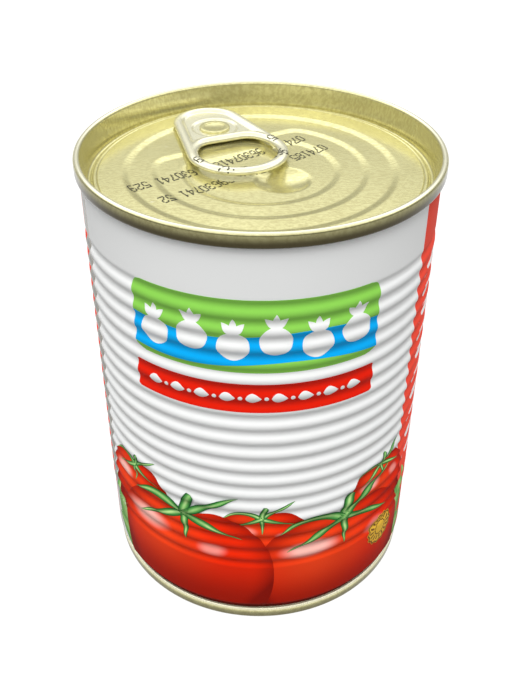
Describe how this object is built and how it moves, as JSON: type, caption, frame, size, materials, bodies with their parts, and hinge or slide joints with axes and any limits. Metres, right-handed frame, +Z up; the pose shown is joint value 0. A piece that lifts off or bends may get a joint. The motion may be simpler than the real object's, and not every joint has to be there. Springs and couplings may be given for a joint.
{
  "type": "food tin",
  "caption": "Shut tin of tomato paste with a beaded wall, seamed ends and a ring pull.",
  "frame": {"origin": "centre of the ring that the tin stands on, in the plane of the table", "axes": "+Z up along the tin's axis; -Y is the side with the front of the print; the rivet of the ring pull lies 120 degrees round from +X"},
  "size_m": [0.0764, 0.0764, 0.1048],
  "materials": {
    "printed_wall": "gloss white lithographed steel with a red and green print",
    "gold_lacquer": "satin pale gold lacquer over tinplate",
    "pale_lacquer": "satin clear lacquer over tinplate"
  },
  "bodies": {
    "root": {"can_body": "printed_wall", "wall_rim": "printed_wall", "top_end": "gold_lacquer", "bottom_end": "gold_lacquer", "ring_pull": "pale_lacquer"}
  },
  "joints": []
}
